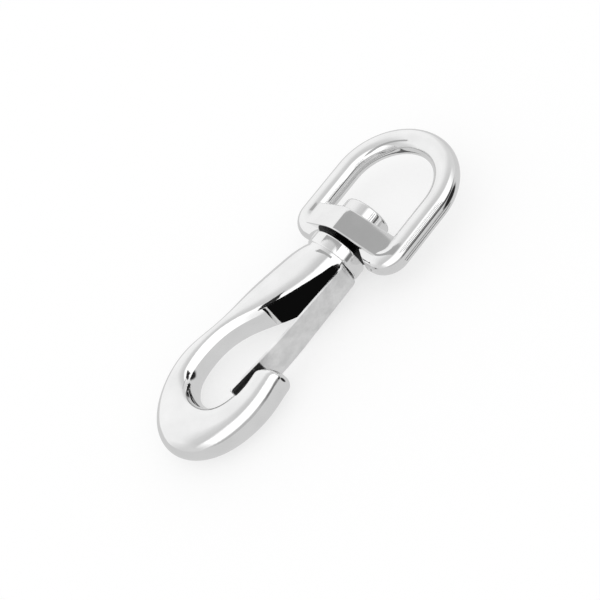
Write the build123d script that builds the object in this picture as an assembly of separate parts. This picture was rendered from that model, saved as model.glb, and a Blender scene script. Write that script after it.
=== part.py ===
from build123d import *
import math
import os

# Swivel snap hook: a cast hook body, a D-shaped swivel eye that turns on a headed stud, and a spring-leaf gate.
# Millimetres. The origin is the centre of the eye's crown. +Y runs up the swivel axis to the crown, +X points to
# the gate side, and +Z is square to the hook's plane. The hook lies on its side, with +Z up.

# ---- swivel eye ----
wire_dia = 6.8  # round section of the arms and the crown
eye_inner_width = 25.0  # clear width between the arms
eye_arm_length = 12.8  # straight arm, from the top of the base to the crown's centre
eye_base_height = 7.2  # boss, from its bearing face to the flat top of the base
eye_base_sag = 2.8  # how far the two lower corners hang below the bearing face
eye_boss_dia = 16.0
eye_corner_radius = 3.4  # centreline radius of the two lower corners
eye_recess_slope = 45.0  # degrees, side of the recess round the bearing face
eye_base_edge = 0.45  # small rounding on the base's crisp edges
eye_web_inset = 0.05  # base web against the full width of the wire

# ---- swivel stud ----
head_dia = 13.5
head_height = 3.6
head_rim_radius = 0.9
shank_dia = 7.0
shank_embedment = 9.0  # shank held inside the hook body
anchor_groove_depth = 0.4
anchor_groove_width = 1.2
anchor_groove_count = 3

# ---- fits ----
swivel_clearance = 0.1  # radial, shank in the eye's bore
head_seat_gap = 0.15  # under the head, above the eye's base
bearing_gap = 1.4  # between the collar and the bearing face
recess_clearance = 0.4  # radial, collar inside the recess under the eye
leaf_side_clearance = 0.25  # each side of the root tab in its slot
leaf_shoulder_clearance = 0.45  # behind the blade's shoulders, which swing inward as the gate opens
leaf_slot_clearance = 0.12  # above and below the root tab when the gate is shut
gate_seat_gap = 0.3  # leaf to nose when the gate is shut
bowl_leaf_gap = 0.5  # leaf to the bowl's wall beside its tip
wedge_leaf_gap = 0.4  # leaf to the top of the wedge face, room for the leaf to bend inward

# ---- hook body: round parts ----
collar_dia = 16.0
collar_height = 3.9
collar_edge = 0.7
neck_groove_dia = 15.2
neck_groove_width = 0.8

# ---- hook body: heights below the collar's top face, along the swivel axis ----
nape_drop = 8.9
shoulder_drop = 13.0
hip_drop = 19.1
waist_drop = 25.2  # the kink where the wedge face ends
spine_drop = 34.0
bowl_drop = 46.0  # centre of the bowl
nose_rise = 7.6  # inner lip of the nose's end, above the bowl's centre
nose_edge = 1.7  # rounding round the nose's end

# ---- hook body: in-plane sizes ----
wedge_foot = -4.6  # wedge face, distance from the axis at the kink
wedge_bulge = 1.4  # how far the middle of the wedge face stands out from a straight line
wedge_spare = 0.9  # material outside the wedge face before it is cut
neck_spare = 0.3  # the same at the very top, where the collar covers the edge
nape_back = -10.0
shoulder_back = -11.6
hip_back = -13.3
waist_back = -14.3
spine_inner = -9.5
spine_back = -15.4
bowl_inner_radius = 8.7
bowl_outer_offset = -2.0
bowl_outer_half_width = 16.4
bowl_outer_depth = 21.7
nose_thickness = 7.45
nose_root_share = 0.45  # where the straight nose starts, on the way from the bowl's centre to the nose's end
nose_slant = 4.2  # how much higher the nose stands on its outer side

# ---- hook body: half-thicknesses, square to the hook's plane ----
neck_half = 7.65
shoulder_half = 7.0
waist_half = 5.7
spine_half = 4.8
bowl_half = 5.3
nose_half = 4.9

# ---- hook body: inner face, as a share of the half-thickness there ----
neck_flat = 0.56
spine_flat = 0.55
bowl_flat = 0.62
nose_flat = 0.84

# ---- hook body: how far the inner face bulges ----
straight_crown = 0.05
bowl_end_crown = 0.2
bowl_crown = 1.5

# ---- hook body: slope of the flanks where they leave the inner face, in degrees ----
neck_edge_angle = 56
spine_edge_angle = 50
bowl_start_edge_angle = 55
bowl_edge_angle = 74
nose_edge_angle = 35
flank_reach = 0.45  # length of the flank's Bezier handles, as a share of its chord

# ---- gate leaf ----
leaf_thickness = 0.8
leaf_offset = 7.5  # middle of the leaf from the axis at its root
leaf_root_width = 7.6
leaf_tip_width = 10.4
leaf_tab_width = 5.6  # narrower than the blade, so that the neck hides the slot
leaf_overlap = 8.6  # leaf's tip below the nose's inner lip
leaf_toe_length = 17.0  # the end of the leaf that leans in to the nose
leaf_toe_swell = 0.4  # extra width where the toe starts
leaf_lean = 1.4  # degrees, blade against the axis
leaf_toe_lean = 6.0  # degrees, toe against the axis
leaf_toe_radius = 110.0
leaf_tab_below_collar = 0.65
leaf_tab_wall = 0.9  # metal between the stud's shank and the end of the root tab
leaf_bend_radius = 1.2  # centreline radius of the root bend
leaf_corner_radius = 1.2
gate_travel = 18.0  # degrees from shut to fully open
slot_spare_angle = 2.0  # degrees that the slot's flare opens past the travel

# ---- derived places ----
wire_radius = wire_dia / 2
arm_offset = eye_inner_width / 2 + wire_radius
base_top = -eye_arm_length
base_bottom = base_top - eye_base_height
collar_top = base_bottom - bearing_gap
head_underside = base_top + head_seat_gap
hinge_x = shank_dia / 2 + leaf_tab_wall
hinge_y = collar_top - collar_height - leaf_tab_below_collar
tab_shoulder_x = leaf_offset - leaf_bend_radius  # where the tab widens to the blade's width
nose_drop = bowl_drop - nose_rise
leaf_tip_drop = nose_drop + leaf_overlap
leaf_toe_drop = leaf_tip_drop - leaf_toe_length
bowl_section_step = 27  # degrees between the bowl's sections
circle_handle = 0.5523  # Bezier handle of a quarter circle, as a share of its radius


def below_collar(drop):
    """Height of a point that lies a given drop below the collar's top face."""
    return collar_top - drop


def leaf_x(drop):
    """Distance of the leaf's middle line from the axis at a drop below the collar."""
    blade = min(drop, leaf_toe_drop) - (collar_top - hinge_y)
    toe = max(drop - leaf_toe_drop, 0)
    lean, toe_lean = math.radians(leaf_lean), math.radians(leaf_toe_lean)
    return leaf_offset - blade * math.tan(lean) - toe * math.tan(toe_lean)


def leaf_outer_x(drop):
    """Distance of the leaf's outer face from the axis at a drop below the collar."""
    return leaf_x(drop) + leaf_thickness / 2 / math.cos(math.radians(leaf_toe_lean))


def y_cylinder(radius, y_low, y_high):
    """Round bar on the swivel axis between two heights."""
    circle = Plane(origin=(0, y_low, 0), x_dir=(1, 0, 0), z_dir=(0, 1, 0)) * Circle(radius)
    return extrude(circle, y_high - y_low)


def cone_on_axis(low_radius, high_radius, y_low, y_high):
    """Frustum on the swivel axis between two heights."""
    profile = Polyline((0, y_low), (low_radius, y_low), (high_radius, y_high), (0, y_high), close=True)
    return revolve(make_face(profile), Axis.Y)


def swivel_eye():
    """Round wire bent to a D, with a thick bored boss at the middle of its base."""
    ring_bottom = base_bottom - eye_base_sag
    bar = ring_bottom + wire_radius
    corner = eye_corner_radius
    right, left = arm_offset, -arm_offset
    path = (
        Line((0, bar), (right - corner, bar))
        + RadiusArc((right - corner, bar), (right, bar + corner), -corner)
        + Line((right, bar + corner), (right, 0))
        + ThreePointArc((right, 0), (0, arm_offset), (left, 0))
        + Line((left, 0), (left, bar + corner))
        + RadiusArc((left, bar + corner), (left + corner, bar), -corner)
        + Line((left + corner, bar), (0, bar))
    )
    section = Plane(origin=(0, bar, 0), z_dir=(1, 0, 0)) * Circle(wire_radius)
    ring = sweep(section, path=path)

    plan = Plane(origin=(0, base_bottom, 0), x_dir=(1, 0, 0), z_dir=(0, 1, 0))
    web_end = eye_inner_width / 2
    ends = [Pos(x, 0) * Circle(wire_radius - eye_web_inset) for x in (web_end, -web_end)]
    outline = make_hull((Circle(eye_boss_dia / 2) + ends).edges())
    boss = extrude(plan * outline, eye_base_height)
    boss = fillet(boss.edges().filter_by(GeomType.LINE, reverse=True), eye_base_edge)
    ring_height = 2 * eye_base_height + eye_base_sag
    front = Pos(0, ring_bottom + ring_height / 2) * RectangleRounded(
        2 * (right + wire_radius - eye_web_inset), ring_height, corner + wire_radius)
    boss &= extrude(front, eye_boss_dia, both=True)

    recess_radius = collar_dia / 2 + recess_clearance
    spread = (eye_base_sag + 1) / math.tan(math.radians(eye_recess_slope))
    recess = cone_on_axis(recess_radius + spread, recess_radius, ring_bottom - 1, base_bottom)
    bore = y_cylinder(shank_dia / 2 + swivel_clearance, ring_bottom - 1, base_top + 1)
    return ring + boss - recess - bore


def swivel_stud():
    """Headed stud: button head inside the eye, shank through the bore and into the hook body."""
    head = y_cylinder(head_dia / 2, head_underside, head_underside + head_height)
    head = fillet(head.edges().sort_by(Axis.Y)[-1], head_rim_radius)
    shank_end = collar_top - shank_embedment
    shank = y_cylinder(shank_dia / 2, shank_end, head_underside)
    pitch = (shank_embedment - 2 * anchor_groove_width) / anchor_groove_count
    for index in range(anchor_groove_count):
        low = shank_end + anchor_groove_width + index * pitch
        high = low + anchor_groove_width
        groove = y_cylinder(shank_dia / 2 + 1, low, high)
        core = y_cylinder(shank_dia / 2 - anchor_groove_depth, low, high)
        shank -= groove - core
    return head + shank


def quarter_handle(start, end):
    """Coordinate of the Bezier handle that makes a quarter ellipse between two coordinates."""
    return start + circle_handle * (end - start)


def body_section(inner, outer, flat_half, half, crown, edge_angle, widest=0.5):
    """Closed section between an inner and an outer point, both in the hook's plane.

    flat_half is half the width of the inner face and half is half the full thickness. crown is how far the inner
    face bulges. edge_angle is the slope at which the flank leaves the inner face: near 90 is a smooth round edge.
    widest is where the full thickness is reached, as a share of the way from the inner to the outer point.
    """
    start = Vector(*inner, 0)
    across = (Vector(*outer, 0) - start).normalized()
    depth = (Vector(*outer, 0) - start).length
    wide = depth * widest

    def point(away, up):
        return start + across * away + Vector(0, 0, up)

    lean = Vector(math.cos(math.radians(edge_angle)), math.sin(math.radians(edge_angle)))
    reach = flank_reach * math.hypot(wide, half - flat_half)
    curves = [Bezier(
        point(0, -flat_half),
        point(-crown, -flat_half / 2),
        point(-crown, flat_half / 2),
        point(0, flat_half),
    )]
    for side in (1, -1):
        curves.append(Bezier(
            point(0, side * flat_half),
            point(lean.X * reach, side * (flat_half + lean.Y * reach)),
            point(wide - reach, side * half),
            point(wide, side * half),
        ))
        curves.append(Bezier(
            point(wide, side * half),
            point(quarter_handle(wide, depth), side * half),
            point(depth, side * circle_handle * half),
            point(depth, 0),
        ))
    return make_face(curves)


def blend_value(start, end, share):
    """Value that eases from start to end as share goes from 0 to 1."""
    ease = (1 - math.cos(math.pi * share)) / 2
    return start + (end - start) * ease


def bowl_section(angle):
    """Section of the bowl at an angle about its centre: 180 is the spine, 270 the bottom and 360 the nose."""
    turn = math.radians(angle)
    centre_x = leaf_outer_x(bowl_drop) + bowl_leaf_gap - bowl_inner_radius
    centre_y = below_collar(bowl_drop)
    inner = (
        centre_x + bowl_inner_radius * math.cos(turn),
        centre_y + bowl_inner_radius * math.sin(turn),
    )
    outer = (
        bowl_outer_offset + bowl_outer_half_width * math.cos(turn),
        centre_y + bowl_outer_depth * math.sin(turn),
    )
    bottom_share = 1 - abs(angle - 270) / 90
    on_spine = angle < 270
    half = blend_value(spine_half if on_spine else nose_half, bowl_half, bottom_share)
    flat = half * blend_value(spine_flat if on_spine else nose_flat, bowl_flat, bottom_share)
    crown = blend_value(bowl_end_crown, bowl_crown, bottom_share)
    edge = blend_value(bowl_start_edge_angle if on_spine else nose_edge_angle, bowl_edge_angle, bottom_share)
    return body_section(inner, outer, flat, half, crown, edge)


def wedge_x(drop):
    """Distance of the wedge face from the axis at a drop below the collar."""
    wedge_top = leaf_offset - leaf_thickness / 2 - wedge_leaf_gap
    share = (drop - collar_height) / (waist_drop - collar_height)
    return wedge_top + (wedge_foot - wedge_top) * share + 4 * wedge_bulge * share * (1 - share)


def hook_blank():
    """Solid hook from the neck to the nose, before the wedge face and the gate slot are cut."""
    neck_drop = collar_height + neck_groove_width
    sections = []
    for drop, back, half, spare in (
        (neck_drop, -neck_half, neck_half, neck_spare),
        (nape_drop, nape_back, neck_half, wedge_spare),
        (shoulder_drop, shoulder_back, shoulder_half, wedge_spare),
        (hip_drop, hip_back, (shoulder_half + waist_half) / 2, wedge_spare),
        (waist_drop, waist_back, waist_half, wedge_spare),
    ):
        y = below_collar(drop)
        front = wedge_x(drop) + spare
        flat = neck_flat * half
        sections.append(body_section((front, y), (back, y), flat, half, straight_crown, neck_edge_angle))
    y = below_collar(spine_drop)
    flat = spine_flat * spine_half
    inner, outer = (spine_inner, y), (spine_back, y)
    sections.append(body_section(inner, outer, flat, spine_half, straight_crown, spine_edge_angle))
    for angle in range(180, 360, bowl_section_step):
        sections.append(bowl_section(angle))
    nose_inner = leaf_outer_x(nose_drop) + gate_seat_gap
    nose_outer = nose_inner + nose_thickness
    for share in (nose_root_share, 1):
        drop = bowl_drop + (nose_drop - bowl_drop) * share
        inner = (nose_inner, below_collar(drop))
        outer = (nose_outer, below_collar(drop) + nose_slant * share)
        flat = nose_flat * nose_half
        sections.append(body_section(inner, outer, flat, nose_half, straight_crown, nose_edge_angle))
    return loft(sections)


def prism(points, half_width):
    """Straight prism square to the hook's plane, centred on it."""
    return extrude(make_face(Polyline(*points, close=True)), half_width, both=True)


def gate_slot():
    """Slot for the leaf's root: flat on top, and flared below so that the root can swing open."""
    half_thickness = leaf_thickness / 2 + leaf_slot_clearance
    inner_x = hinge_x - leaf_side_clearance
    run = collar_dia
    fall = run * math.tan(math.radians(gate_travel + slot_spare_angle))
    points = (
        (inner_x, hinge_y + half_thickness),
        (inner_x + run, hinge_y + half_thickness),
        (inner_x + run, hinge_y - half_thickness - fall),
        (inner_x, hinge_y - half_thickness),
    )
    slot = prism(points, leaf_tab_width / 2 + leaf_side_clearance)
    mouth_x = tab_shoulder_x - leaf_shoulder_clearance
    mouth_width = leaf_root_width + 2 * leaf_side_clearance
    mouth = Pos(mouth_x + run / 2, hinge_y) * Box(run, 2 * run, mouth_width)
    return slot + (mouth & prism(points, run))


def wedge_cutter(top_drop):
    """Block that cuts the slightly bulging wedge face, from a drop below the collar to the waist."""
    outside = 2 * collar_dia
    top = (wedge_x(top_drop), below_collar(top_drop))
    middle_drop = (top_drop + waist_drop) / 2
    middle = (wedge_x(middle_drop), below_collar(middle_drop))
    foot = (wedge_foot, below_collar(waist_drop))
    outline = ThreePointArc(top, middle, foot) + Polyline(foot, (outside, foot[1]), (outside, top[1]), top)
    return extrude(make_face(outline), collar_dia, both=True)


def hook_body(stud):
    """Casting from the collar to the nose, with the wedge face, the gate slot and the stud's hole."""
    collar = y_cylinder(collar_dia / 2, below_collar(collar_height), collar_top)
    collar = fillet(collar.edges().filter_by(GeomType.CIRCLE), collar_edge)
    neck_drop = collar_height + neck_groove_width
    groove = y_cylinder(neck_groove_dia / 2, below_collar(neck_drop + 0.5), below_collar(collar_height / 2))
    blank = hook_blank()
    nose_end = blank.faces().sort_by(Axis.X)[-1]
    blank = fillet(nose_end.edges(), nose_edge)
    return blank + groove - wedge_cutter(neck_drop) + collar - gate_slot() - stud


def gate_leaf():
    """Spring leaf: a tab bent in under the collar, a straight blade, and a toe that leans in to the nose."""
    root = (hinge_x, hinge_y)
    bend = (leaf_offset, hinge_y)
    toe_y = below_collar(leaf_toe_drop)
    toe = (leaf_x(leaf_toe_drop), toe_y)
    tip_y = below_collar(leaf_tip_drop)
    tip = (leaf_x(leaf_tip_drop), tip_y)
    path = FilletPolyline(root, bend, toe, tip, radius=[leaf_bend_radius, leaf_toe_radius])
    blade_width = 2 * leaf_tip_width
    start = Plane(origin=(*root, 0), x_dir=(0, 1, 0), z_dir=(1, 0, 0))
    section = start * Rectangle(leaf_thickness, blade_width)
    blade = sweep(section, path=path, transition=Transition.RIGHT)
    top = hinge_y + leaf_thickness
    toe_half_width = (leaf_root_width + leaf_tip_width) / 4 + leaf_toe_swell / 2
    plan = make_face(Polyline(
        (top, leaf_root_width / 2),
        (toe_y, toe_half_width),
        (tip_y, leaf_tip_width / 2),
        (tip_y, -leaf_tip_width / 2),
        (toe_y, -toe_half_width),
        (top, -leaf_root_width / 2),
        close=True,
    ))
    plan = fillet(plan.vertices().sort_by(Axis.X)[:2], leaf_corner_radius)
    side = Plane(origin=(0, 0, 0), x_dir=(0, 1, 0), z_dir=(1, 0, 0))
    leaf = blade & extrude(side * plan, collar_dia)
    trim = Box(blade_width, 2 * leaf_thickness, blade_width)
    trim_x = tab_shoulder_x - blade_width / 2
    trim_z = (leaf_tab_width + blade_width) / 2
    return leaf - [Pos(trim_x, hinge_y, z) * trim for z in (trim_z, -trim_z)]


os.makedirs("parts", exist_ok=True)
stud = swivel_stud()
for name, shape in (
    ("swivel_eye", swivel_eye()),
    ("swivel_stud", stud),
    ("hook_body", hook_body(stud)),
    ("gate_leaf", gate_leaf()),
):
    export_step(shape, f"parts/{name}.step")
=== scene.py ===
# %% [markdown]
# # A swivel snap hook in polished chrome
# The hook is four metal pieces: a cast hook body, a cast swivel eye, a headed stud that joins them,
# and a flat spring leaf that shuts the mouth of the hook. The construction comes from a fixed
# frame, in metres, with the hook lying on its side: +Y runs up the swivel axis, +X points to the
# gate side, and +Z is up. This script gives every piece its finish, models the spring leaf again
# with rows of edges along its length, and sets up a plain white studio.

# %% Load the frame
import math

import bmesh
import bpy
from mathutils import Matrix, Vector


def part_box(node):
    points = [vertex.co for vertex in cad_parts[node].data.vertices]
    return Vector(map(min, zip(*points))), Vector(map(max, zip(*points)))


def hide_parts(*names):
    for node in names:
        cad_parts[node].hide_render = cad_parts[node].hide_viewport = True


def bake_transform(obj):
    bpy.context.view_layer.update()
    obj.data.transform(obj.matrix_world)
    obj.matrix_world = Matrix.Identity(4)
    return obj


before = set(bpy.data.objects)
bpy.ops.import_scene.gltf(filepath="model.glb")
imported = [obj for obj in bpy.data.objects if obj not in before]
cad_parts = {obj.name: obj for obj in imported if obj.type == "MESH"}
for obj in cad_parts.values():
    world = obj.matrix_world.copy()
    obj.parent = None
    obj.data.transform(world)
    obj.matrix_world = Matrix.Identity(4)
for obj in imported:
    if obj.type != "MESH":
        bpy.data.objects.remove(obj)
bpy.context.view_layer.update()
scene = bpy.context.scene
MM = 0.001

# %% [markdown]
# ## A small language for shaders
# A finish is a sum of simple patterns. Wrapping a socket in a class that can be added, multiplied
# and taken from a number lets a pattern be written as one line of maths, and one method adds any
# other node. The same helper builds the materials and the sky.


# %% Socket maths
def grey(level):
    """Opaque colour of one level."""
    return (level, level, level, 1)


class Wire:
    """A shader socket that can be added to, multiplied, and subtracted from a number."""

    def __init__(self, shader, socket):
        self.shader = shader
        self.socket = socket

    def _math(self, operation, first, second):
        return self.shader.add("ShaderNodeMath", {"operation": operation}, {0: first, 1: second})

    def __add__(self, other):
        return self._math("ADD", self, other)

    def __radd__(self, other):
        return self._math("ADD", other, self)

    def __rsub__(self, other):
        return self._math("SUBTRACT", other, self)

    def __mul__(self, other):
        return self._math("MULTIPLY", self, other)

    def __rmul__(self, other):
        return self._math("MULTIPLY", other, self)


class Shader:
    """The node tree of a material or a world, built one call at a time."""

    def __init__(self, owner, output_kind="ShaderNodeOutputMaterial"):
        owner.use_nodes = True
        self.owner = owner
        self.nodes = owner.node_tree.nodes
        self.links = owner.node_tree.links
        self.nodes.clear()
        self.output = self.nodes.new(output_kind)

    def finish(self, surface):
        """Links the last wire to the output and returns the material or world."""
        self.links.new(surface.socket, self.output.inputs["Surface"])
        return self.owner

    def plug(self, socket, value):
        """Links a wire to a socket, or sets the socket to a plain value."""
        if isinstance(value, Wire):
            self.links.new(value.socket, socket)
        else:
            socket.default_value = value

    def add(self, kind, settings=None, inputs=None, output=0):
        """Adds a node of any kind, sets it up, fills its sockets and returns one of its outputs."""
        node = self.nodes.new(kind)
        for key, value in (settings or {}).items():
            if key == "ramp":
                elements = node.color_ramp.elements
                while len(elements) < len(value):
                    elements.new(0.5)
                for element, (place, level) in zip(elements, value):
                    element.position = place
                    element.color = grey(level)
            else:
                setattr(node, key, value)
        for key, value in (inputs or {}).items():
            self.plug(node.inputs[key], value)
        return Wire(self, node.outputs[output])

    def noise(self, scale, stretch=(1, 1, 1), detail=2.0, roughness=0.5, place=(0, 0, 0)):
        """Noise on the piece's own coordinates. scale is in features per metre."""
        here = self.add("ShaderNodeTexCoord", output="Object")
        here = self.add("ShaderNodeMapping", inputs={"Vector": here, "Scale": stretch, "Location": place})
        return self.add("ShaderNodeTexNoise", inputs={
            "Vector": here, "Scale": scale, "Detail": detail, "Roughness": roughness})

    def split(self, vector):
        """The x, y and z of a vector."""
        return [self.add("ShaderNodeSeparateXYZ", inputs={0: vector}, output=index) for index in range(3)]

    def ramp(self, wire, stops):
        """Remaps a wire through grey stops of (place, level)."""
        return self.add("ShaderNodeValToRGB", {"ramp": stops}, {"Fac": wire})

    def step(self, wire, low, high):
        """0 below low, 1 above high, and a straight rise between them."""
        return self.add("ShaderNodeMapRange", inputs={"Value": wire, "From Min": low, "From Max": high})

    def mix(self, factor, first, second):
        """Colour between two colours."""
        return self.add("ShaderNodeMix", {"data_type": "RGBA"}, {"Factor": factor, 6: first, 7: second}, 2)

    def bump(self, height, distance, normal=None):
        """Surface relief: height is 0 to 1 and distance is its depth in metres."""
        inputs = {"Height": height, "Distance": distance}
        if normal:
            inputs["Normal"] = normal
        return self.add("ShaderNodeBump", inputs=inputs)

    def metal(self, color, roughness, normal):
        """Finishes the material as a metal and returns it."""
        inputs = {"Base Color": color, "Roughness": roughness, "Normal": normal, "Metallic": 1.0}
        return self.finish(self.add("ShaderNodeBsdfPrincipled", inputs=inputs))


print("shader helper ready")

# %% [markdown]
# ## Polished chrome
# The castings are buffed before they are plated, so the plating is a mirror over a surface that is
# never quite flat: slow waves from the buffing wheel and hair-fine wipe marks. Haze and handling
# add a little change in gloss. Each casting gets its own depth of wave and direction of wipe marks.
# Painted black shade darkens the faces that run on one another, in the gap between the parts where
# shade falls: the recess under the eye and the stud's shank.

# %% Where the painted shade lies
eye_base_sag = 2.8 * MM
stud_head_height = 3.6 * MM
bearing_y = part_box("swivel_eye")[0][1] + eye_base_sag
bearing_radius = 8.2 * MM
head_underside_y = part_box("swivel_stud")[1][1] - stud_head_height
# Soft edge of the painted shade in the gap between the parts.
shade_edge = 0.05 * MM


def bearing_painted_shade(shader):
    """Painted shade mask of the recess under the eye, round the stud."""
    x, y, z = shader.split(shader.add("ShaderNodeTexCoord", output="Object"))
    radius = shader.add("ShaderNodeMath", {"operation": "SQRT"}, {0: x * x + z * z})
    near = 1 - shader.step(radius, bearing_radius, bearing_radius + 6 * shade_edge)
    return near * (1 - shader.step(y, bearing_y + shade_edge, bearing_y + 3 * shade_edge))


def shank_painted_shade(shader):
    """Painted shade mask of the shank, below the stud's head."""
    height = shader.split(shader.add("ShaderNodeTexCoord", output="Object"))[1]
    return 1 - shader.step(height, head_underside_y - shade_edge, head_underside_y)


print("bearing face at", round(bearing_y / MM, 2), "mm")
print("underside of the head at", round(head_underside_y / MM, 2), "mm")

# %% [markdown]
# One function makes all three chromes. Each pattern changes either the tone, the gloss or the
# relief.


# %% Chrome finishes
HAZE_SHARE_OF_TONE = 0.94
# Painted shade: the black painted into the gap at the eye's recess and the stud's shank.
PAINTED_SHADE_BLACK = 0.012
wipe_depth = 0.0012 * MM


def polished_chrome(name, tone, wave_depth, wipe_stretch, shade_mask=None):
    """Bright plating over a buffed casting, with painted black shade where a mask is given."""
    shader = Shader(bpy.data.materials.new(name))
    haze = shader.noise(140, detail=3.0, place=(0.3, 0.1, 0.7))
    speckle = shader.noise(2600)
    wipes = shader.noise(900, stretch=wipe_stretch, detail=3.0, roughness=0.65)
    waves = shader.noise(110, detail=1.0, place=(1.7, 0.4, 0.2))
    haze_share = shader.ramp(haze, ((0.35, 0.0), (0.7, 1.0)))
    wipe_share = shader.ramp(wipes, ((0.45, 0.0), (0.75, 1.0)))
    color = shader.mix(haze_share, grey(tone * HAZE_SHARE_OF_TONE), grey(tone))
    roughness = 0.035 + 0.05 * haze + 0.03 * wipe_share + 0.012 * speckle
    normal = shader.bump(waves, wave_depth)
    normal = shader.bump(wipes, wipe_depth, normal)
    if shade_mask:
        # The mask paints black shade into the colour and also dulls the gloss there.
        painted_shade = shade_mask(shader)
        color = shader.mix(painted_shade, color, grey(PAINTED_SHADE_BLACK))
        roughness = roughness + 0.5 * painted_shade
    return shader.metal(color, roughness, normal)


finishes = {
    "hook_body": polished_chrome("hook_chrome", 0.93, 0.12 * MM, (1, 0.12, 1)),
    # The eye and the stud take painted black shade in the gap between the parts.
    "swivel_eye": polished_chrome("eye_chrome", 0.92, 0.06 * MM, (1, 0.15, 1), bearing_painted_shade),
    "swivel_stud": polished_chrome("stud_chrome", 0.91, 0.03 * MM, (1, 6, 1), shank_painted_shade),
}
for node, finish in finishes.items():
    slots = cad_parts[node].data.materials
    slots.clear()
    slots.append(finish)
    print("finished", node, "with", finish.name)

# %% [markdown]
# ## Satin spring strip
# The leaf is stamped from rolled strip, and rolling leaves a satin grain along its length. Its
# plating is thinner and duller than the castings', with cloudy patches and fine pits.


# %% Leaf finish
def satin_strip():
    """Rolled spring steel with a satin nickel flash."""
    shader = Shader(bpy.data.materials.new("satin_strip"))
    grain = shader.noise(2400, stretch=(1, 0.03, 1), detail=3.0, roughness=0.7)
    cloud = shader.noise(260, detail=4.0, roughness=0.6)
    pits = shader.noise(3200, detail=1.0)
    cloud_share = shader.ramp(cloud, ((0.35, 0.0), (0.65, 1.0)))
    color = shader.mix(cloud_share, grey(0.82), grey(0.98))
    roughness = 0.24 + 0.12 * cloud + 0.08 * grain
    normal = shader.bump(grain, 0.004 * MM)
    normal = shader.bump(pits, 0.003 * MM, normal)
    return shader.metal(color, roughness, normal)


leaf_finish = satin_strip()
print("finished", leaf_finish.name)

# %% [markdown]
# ## The spring leaf
# The real leaf is one strip: a short tab bent in under the collar, a straight blade, and a toe that
# leans inward to bear on the nose. The frame's leaf turns as a stiff piece, but a spring bends, so
# it is modelled again with rows of edges along its length. Its ends and its widest place come from
# the frame's leaf.

# %% Leaf sizes
low, high = (Vector(corner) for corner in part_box("gate_leaf"))
thickness = 0.8 * MM
tab_width = 5.6 * MM
root_width = 7.6 * MM
tip_width = high.z - low.z
toe_swell = 0.4 * MM
toe_width = (root_width + tip_width) / 2 + toe_swell
toe_length = 17.0 * MM
bend_radius = 1.2 * MM
toe_radius = 110 * MM
blade_lean = math.radians(1.4)
toe_lean = math.radians(6.0)
tip_corner = 1.2 * MM
edge_softness = 0.12 * MM
tip_allowance = 0.02 * MM
leaf_x = 7.5 * MM
tab_y = high.y - thickness / 2
tip_y = low.y
toe_y = tip_y + toe_length
toe_x = leaf_x - (tab_y - toe_y) * math.tan(blade_lean)
tip_x = toe_x - toe_length * math.tan(toe_lean)
print("leaf from", tuple(round(v / MM, 2) for v in low), "to", tuple(round(v / MM, 2) for v in high))

# %% [markdown]
# One vertex, the pen, is drawn down the strip's middle line, by extrusion on the straight runs and
# by spin round the two bends.

# %% Leaf middle line
leaf_mesh = bmesh.new()


def draw_to(pen, x, y, steps):
    """Extrudes the pen in a straight line in equal steps."""
    step = (Vector((x, y, 0)) - pen.co) / steps
    for _ in range(steps):
        pen = bmesh.ops.extrude_vert_indiv(leaf_mesh, verts=[pen])["verts"][0]
        pen.co += step
    return pen


def draw_round(pen, radius, angle, heading, steps):
    """Spins the pen round a bend to the right of its heading."""
    to_centre = heading - math.pi / 2
    centre = pen.co + Vector((math.cos(to_centre), math.sin(to_centre), 0)) * radius
    spun = bmesh.ops.spin(
        leaf_mesh, geom=[pen], cent=centre, axis=(0, 0, -1), angle=angle, steps=steps,
        use_merge=False, use_duplicate=False,
    )
    return next(item for item in spun["geom_last"] if isinstance(item, bmesh.types.BMVert))


root_turn = math.pi / 2 + blade_lean
toe_turn = toe_lean - blade_lean
shoulder_x = leaf_x - bend_radius * math.tan(root_turn / 2)
toe_cut = toe_radius * math.tan(toe_turn / 2)
pen = leaf_mesh.verts.new((low.x, tab_y, 0))
pen = draw_to(pen, shoulder_x, tab_y, steps=4)
pen = draw_round(pen, bend_radius, root_turn, heading=0.0, steps=10)
blade_end = (toe_x + toe_cut * math.sin(blade_lean), toe_y + toe_cut * math.cos(blade_lean))
pen = draw_to(pen, *blade_end, steps=30)
pen = draw_round(pen, toe_radius, toe_turn, heading=-root_turn, steps=12)
pen = draw_to(pen, tip_x, tip_y + tip_allowance, steps=12)
print("middle line:", len(leaf_mesh.verts), "points")

# %% [markdown]
# The line is extruded to a ribbon that widens slowly from the root to the tip. Its two tip corners
# are rounded, and Solidify and a narrow bevel turn the ribbon into stamped strip, centred on the
# line that was drawn.


# %% Leaf ribbon
tab_margin = 0.1 * MM
corner_angle = math.radians(60)


def strip_width(point):
    """Width of the strip at a point of the ribbon."""
    if point.x < shoulder_x - tab_margin and point.y > tab_y - thickness / 2:
        return tab_width
    if point.y > toe_y:
        share = (high.y - point.y) / (high.y - toe_y)
        return root_width + (toe_width - root_width) * share
    share = (toe_y - point.y) / (toe_y - tip_y)
    return toe_width + (tip_width - toe_width) * share


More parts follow.
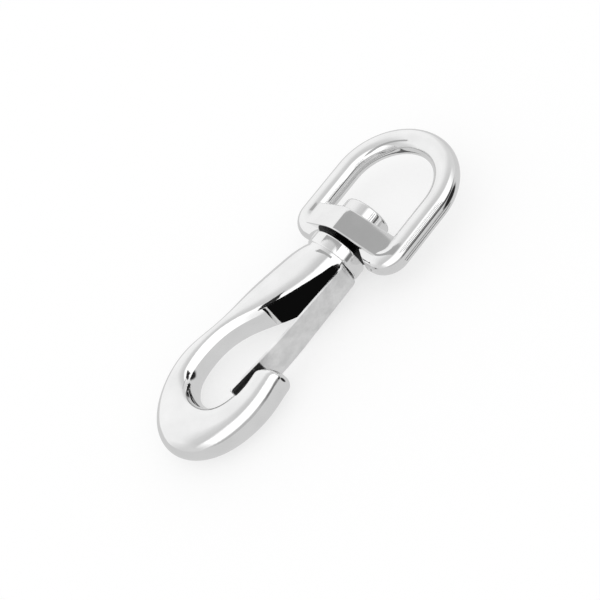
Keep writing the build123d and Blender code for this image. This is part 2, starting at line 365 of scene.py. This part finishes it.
ribbon = bmesh.ops.extrude_edge_only(leaf_mesh, edges=leaf_mesh.edges[:])
far_side = [item for item in ribbon["geom"] if isinstance(item, bmesh.types.BMVert)]
bmesh.ops.translate(leaf_mesh, verts=far_side, vec=(0, 0, 1))
for vert in leaf_mesh.verts:
    vert.co.z = (vert.co.z - 0.5) * strip_width(vert.co)
leaf_mesh.verts.ensure_lookup_table()
tip_verts = sorted(leaf_mesh.verts, key=lambda vert: vert.co.y)[:2]
bmesh.ops.bevel(
    leaf_mesh, geom=tip_verts, offset=tip_corner, segments=6, profile=0.5, affect="VERTICES", material=-1)
bmesh.ops.recalc_face_normals(leaf_mesh, faces=leaf_mesh.faces)
leaf_mesh.normal_update()
for vert in leaf_mesh.verts:
    vert.co += vert.normal * thickness / 2
bmesh.ops.solidify(leaf_mesh, geom=leaf_mesh.faces[:], thickness=thickness)
sharp = [edge for edge in leaf_mesh.edges if edge.calc_face_angle(0) > corner_angle]
bmesh.ops.bevel(
    leaf_mesh, geom=sharp, offset=edge_softness, segments=2, profile=0.5, affect="EDGES", material=-1)
for face in leaf_mesh.faces:
    face.smooth = True
print("ribbon:", len(leaf_mesh.faces), "faces")

# %% [markdown]
# The finished strip replaces the frame's leaf, which is hidden.

# %% Make the leaf object
leaf_data = bpy.data.meshes.new("spring_leaf")
leaf_mesh.to_mesh(leaf_data)
leaf_mesh.free()
smooth_limit = math.radians(40)
leaf_data.set_sharp_from_angle(angle=smooth_limit)
leaf_data.materials.append(leaf_finish)
leaf = bpy.data.objects.new("spring_leaf", leaf_data)
scene.collection.objects.link(leaf)
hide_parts("gate_leaf")
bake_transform(leaf)
for axis in range(3):
    values = [vert.co[axis] / MM for vert in leaf_data.vertices]
    print("leaf", "xyz"[axis], "from", round(min(values), 2), "to", round(max(values), 2))

# %% [markdown]
# ## Studio
# Chrome has no colour of its own: it looks like whatever stands round it. A white floor and a broad
# pale sky make it light all over, and dark flags, seen only in reflections, give it the black lines
# that let the eye read its form. The floor leans by a few degrees because the hook really rests on
# the eye's base and on the back of its bowl.

# %% How the hook rests
body_points = [Vector(vert.co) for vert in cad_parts["hook_body"].data.vertices]
body_points += [Vector(vert.co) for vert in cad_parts["swivel_eye"].data.vertices]
base_end = -30 * MM
bowl_end = -60 * MM
probe_lean = 0.03
front = min((p for p in body_points if p.y > base_end), key=lambda p: p.z)
back = min((p for p in body_points if p.y < bowl_end), key=lambda p: p.z + probe_lean * p.y)
lean = math.atan2(back.z - front.z, front.y - back.y)
print("the floor leans by", round(math.degrees(lean), 2), "degrees")

# %% [markdown]
# Mirrors see the floor in a darker tone than the eye does, and a black flag stands beyond the eye,
# low on the gate side. Both are written by the direction of the ray, so floor and sky can share the
# flag.

# %% Floor
FLAG_BLACK = 0.02
FAR_FLAG_TOWARDS = (0.70, 0.62, -0.35)
FAR_FLAG_EDGE = (0.26, 0.36)
FLOOR_IN_MIRRORS = 0.66
FLOOR_SIDE = 6
SHADOW_SHARE = 0.35


def far_flag(shader, direction):
    """Mask of the far black flag, from the direction of a ray."""
    centre = Vector(FAR_FLAG_TOWARDS).normalized()
    miss = shader.add("ShaderNodeVectorMath", {"operation": "DISTANCE"}, {0: direction, 1: centre}, 1)
    return 1 - shader.step(miss, *FAR_FLAG_EDGE)


def studio_white(name, shade):
    """Even white floor that keeps a share of the shadows on it."""
    shader = Shader(bpy.data.materials.new(name))
    back_along_ray = shader.add("ShaderNodeNewGeometry", output="Incoming")
    ray = shader.add("ShaderNodeVectorMath", {"operation": "SCALE"}, {0: back_along_ray, "Scale": -1.0})
    reflected = shader.mix(far_flag(shader, ray), grey(FLOOR_IN_MIRRORS), grey(FLAG_BLACK))
    mirrored = shader.add("ShaderNodeLightPath", output="Is Glossy Ray")
    seen = shader.add("ShaderNodeLightPath", output="Is Camera Ray")
    through = shader.add("ShaderNodeLightPath", output="Is Transmission Ray")
    tone = shader.mix(mirrored, grey(1.0), reflected)
    matte = shader.add("ShaderNodeBsdfDiffuse", inputs={"Color": grey(1.0)})
    glow = shader.add("ShaderNodeEmission", inputs={"Color": tone, "Strength": 1.0})
    factor = (seen + through) * (1 - shade) + mirrored
    return shader.finish(shader.add("ShaderNodeMixShader", inputs={0: factor, 1: matte, 2: glow}))


def plate(name, width, depth, matrix, material):
    """Flat rectangle made from a grid and moved into place in its mesh."""
    mesh = bmesh.new()
    bmesh.ops.create_grid(mesh, x_segments=1, y_segments=1, size=0.5)
    bmesh.ops.scale(mesh, vec=(width, depth, 1), verts=mesh.verts)
    bmesh.ops.transform(mesh, matrix=matrix, verts=mesh.verts)
    data = bpy.data.meshes.new(name)
    mesh.to_mesh(data)
    mesh.free()
    data.materials.append(material)
    obj = bpy.data.objects.new(name, data)
    scene.collection.objects.link(obj)
    return obj


slope = Matrix.Translation(front) @ Matrix.Rotation(-lean, 4, "X")
plate("floor", FLOOR_SIDE, FLOOR_SIDE, slope, studio_white("floor_white", SHADOW_SHARE))
print("floor laid under", tuple(round(v / MM, 2) for v in front))

# %% [markdown]
# Cards are glowing plates that only mirror surfaces can see. They throw no light and no shadow, so
# each one writes a single clean tone into the chrome. A lying card is level, and a standing card is
# upright and runs from one point to another. A one-sided card is clear from its back.


# %% Cards for the chrome
def card_material(name, level, one_sided):
    """Glow of one tone."""
    shader = Shader(bpy.data.materials.new(name))
    surface = shader.add("ShaderNodeEmission", inputs={"Color": grey(level), "Strength": 1.0})
    if one_sided:
        clear = shader.add("ShaderNodeBsdfTransparent")
        behind = shader.add("ShaderNodeNewGeometry", output="Backfacing")
        surface = shader.add("ShaderNodeMixShader", inputs={0: behind, 1: surface, 2: clear})
    return shader.finish(surface)


def card(name, level, width, depth, matrix, one_sided=False):
    """Plate of one tone, seen only in reflections."""
    obj = plate(name, width, depth, matrix, card_material(name, level, one_sided))
    obj.visible_camera = False
    obj.visible_diffuse = False
    obj.visible_shadow = False
    obj.visible_transmission = False


def lying_card(name, level, width, depth, middle):
    """Level card. All its sizes are in millimetres."""
    card(name, level, width * MM, depth * MM, Matrix.Translation(Vector(middle) * MM))


def standing_card(name, level, height, start, end, one_sided=False):
    """Upright card between two points. All its sizes are in millimetres."""
    start = Vector(start) * MM
    end = Vector(end) * MM
    run = (end - start).normalized()
    up = Vector((0, 0, 1))
    matrix = Matrix((up, run, up.cross(run))).transposed().to_4x4()
    matrix.translation = (start + end) / 2
    card(name, level, height * MM, (end - start).length, matrix, one_sided)


print("card makers ready")

# %% [markdown]
# A grey card hangs over the base of the eye and the stud's head. Black flags stand off the wedge
# face, in front of the inside of the bowl, and in the gap between the leaf's tip and the nose. Thin
# dark strips beside the eye and on the floor under it draw fine lines along its arms.

# %% Place the cards
BASE_GREY = 0.42
DEEP_BLACK = 0.004
lying_card("base_card", BASE_GREY, 46, 11.5, (2, -10.8, 34))
standing_card("mouth_flag", DEEP_BLACK, 15, (6.9, -28.0, -1.5), (-2.6, -47.8, -1.5))
standing_card("bowl_flag", FLAG_BLACK, 10, (2, -61, 14.5), (2, -47, 14.5), one_sided=True)
standing_card("tip_flag", DEEP_BLACK, 10.6, (5.95, -68.4, 0), (7.0, -58.4, 0), one_sided=True)

ARM_STRIP_TONE = 0.10
ARM_STRIP_X = 40
ARM_STRIP_ENDS = (-8, 13)
ARM_STRIPS = ((3, 3.0), (9, 2.4), (15, 2.0), (23, 2.0), (31, 2.0))
for index, (height, width) in enumerate(ARM_STRIPS):
    start, end = ((ARM_STRIP_X, y, height) for y in ARM_STRIP_ENDS)
    standing_card(f"arm_flag_{index}", ARM_STRIP_TONE, width, start, end)

FLOOR_STRIP_TONE = 0.12
FLOOR_STRIP_LENGTH = 22
FLOOR_STRIP_Z = -7.6
FLOOR_STRIPS = ((-7, 1.2), (-3, 1.5), (3, 2.2), (24, 2.0), (31, 3.0))
for index, (across, width) in enumerate(FLOOR_STRIPS):
    middle = (across, -3, FLOOR_STRIP_Z)
    lying_card(f"floor_flag_{index}", FLOOR_STRIP_TONE, width, FLOOR_STRIP_LENGTH, middle)
print("cards:", 4 + len(ARM_STRIPS) + len(FLOOR_STRIPS))

# %% [markdown]
# The sky that mirrors see is a ring of tones about the swivel axis, because every bar of the hook
# runs more or less along it: grey overhead, a bright softbox on the gate side, a darker gap at the
# horizon, and a pale wall behind. Each stop is an angle in degrees, from 0 straight up to 90 on the
# gate side, with its tone. Towards the eye's end the gap closes to a black seam. Everything else is
# lit by plain white.

# %% Sky
SKY_RING = (
    (-180, 0.76), (-110, 0.80), (-90, 0.95), (-50, 0.97), (-30, 0.92), (-8, 0.70), (16, 0.62),
    (28, 1.25), (70, 1.20), (78, 0.50), (88, 0.50), (96, 0.70), (180, 0.70),
)
HORIZON_SEAM = ((0, 0), (74, 0), (79, 1), (88, 1), (92, 0), (180, 0))
SKY_ENDS = 0.72
sky = Shader(bpy.data.worlds.new("studio"), "ShaderNodeOutputWorld")
direction = sky.add("ShaderNodeTexCoord", output="Generated")
gate_side, along, upward = sky.split(direction)
angle = sky.add("ShaderNodeMath", {"operation": "ARCTAN2"}, {0: gate_side, 1: upward})


def ring(stops):
    """Tone by the angle about the swivel axis, from stops of (degrees, level)."""
    places = [((degrees + 180) / 360, level) for degrees, level in stops]
    return sky.ramp(angle * (1 / math.tau) + 0.5, places)


seam = ring(HORIZON_SEAM) * sky.step(along, 0.0, 0.4)
tone = sky.mix(seam, ring(SKY_RING), grey(FLAG_BLACK))
slant = sky.add("ShaderNodeMath", {"operation": "ABSOLUTE"}, {0: along})
tone = sky.mix(sky.ramp(slant, ((0.75, 0.0), (0.95, 1.0))), tone, grey(SKY_ENDS))
tone = sky.mix(far_flag(sky, direction), tone, grey(FLAG_BLACK))
mirrored = sky.add("ShaderNodeLightPath", output="Is Glossy Ray")
light = sky.mix(mirrored, grey(1.0), tone)
scene.world = sky.finish(sky.add("ShaderNodeBackground", inputs={"Color": light, "Strength": 1.0}))
scene.view_settings.view_transform = "Standard"
print("sky ready with", len(SKY_RING), "stops")

# %% [markdown]
# ## Camera
# A medium-long lens looks down on the hook from the gate side, a little past the bowl, and is
# rolled so that the swivel axis runs up to the right.

# %% Camera
azimuth = math.radians(41.5)
elevation = math.radians(-9.4)
roll = math.radians(38.7)
distance = 233.7 * MM
level_share = math.cos(elevation)
towards = Vector((math.sin(azimuth) * level_share, math.sin(elevation), math.cos(azimuth) * level_share))
axis_up = (Vector((0, 1, 0)) - towards * towards.y).normalized()
axis_right = axis_up.cross(towards)
view_up = axis_up * math.cos(roll) - axis_right * math.sin(roll)
view_right = axis_right * math.cos(roll) + axis_up * math.sin(roll)
hook_middle = Vector((0, -34 * MM, 0))
aim = hook_middle - view_right * 2.8 * MM - view_up * 3.45 * MM
camera_data = bpy.data.cameras.new("camera")
camera_data.sensor_width = 36
camera_data.lens = 54
camera_data.clip_start = 10 * MM
camera = bpy.data.objects.new("camera", camera_data)
camera.matrix_world = Matrix((view_right, view_up, towards)).transposed().to_4x4()
camera.location = aim + towards * distance
scene.collection.objects.link(camera)
scene.camera = camera
print("camera at", tuple(round(v / MM, 1) for v in camera.location))
